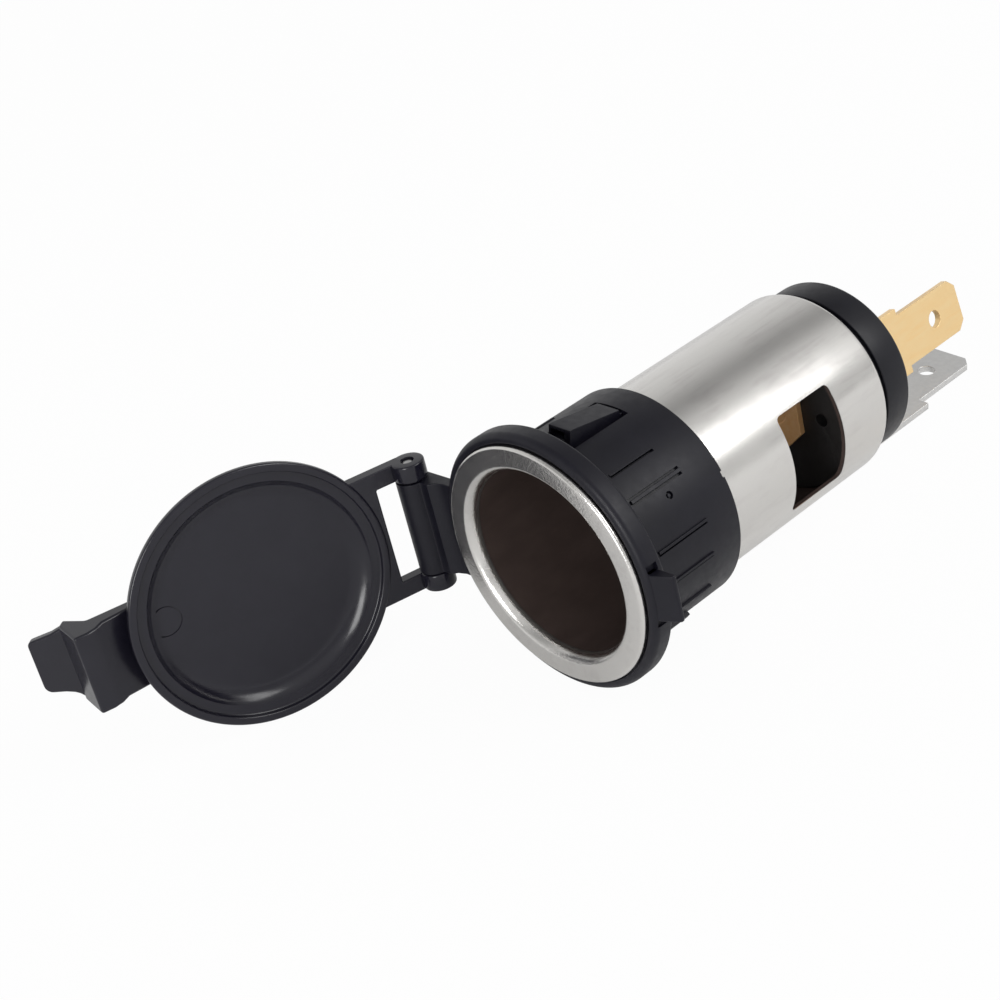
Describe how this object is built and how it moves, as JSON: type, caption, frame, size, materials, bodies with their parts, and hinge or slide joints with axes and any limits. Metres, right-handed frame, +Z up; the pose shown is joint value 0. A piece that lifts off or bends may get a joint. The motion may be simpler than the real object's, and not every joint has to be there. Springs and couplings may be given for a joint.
{
  "type": "car 12v power socket",
  "caption": "Panel-mounted 12 volt car power socket: plated can in a black snap-in collar with a hinged lid, closed by an insulating rear cap with push-on blades.",
  "frame": {"origin": "on the socket's axis, in the plane where the rear of the collar's rim seats on the panel", "axes": "+Y along the socket's axis from its mouth to its rear blades, +Z up along the hinge axis, the lid's hinge on the -X side"},
  "size_m": [0.0533, 0.1059, 0.0292],
  "materials": {
    "plated_steel": "satin nickel plating",
    "black_plastic": "moulded, satin",
    "insulator": "moulded thermoset",
    "brass": "bare",
    "steel": "zinc plated",
    "fibre": "pressed fibre"
  },
  "bodies": {
    "socket": {"can": "plated_steel", "collar": "black_plastic", "inner_insulator": "insulator", "centre_contact": "brass", "live_washer": "fibre", "earth_blade": "steel", "rear_cap": "insulator", "live_blade": "brass", "rivet_washer": "steel", "rivet": "brass"},
    "lid": {"lid": "black_plastic", "hinge_pin": "steel"}
  },
  "joints": [
    {"name": "lid_hinge", "type": "hinge", "parent": "socket", "child": "lid", "pos_m": [-0.01906, -0.0024, 0], "axis": [0, 0, 1], "range_deg": [0, 104]}
  ]
}
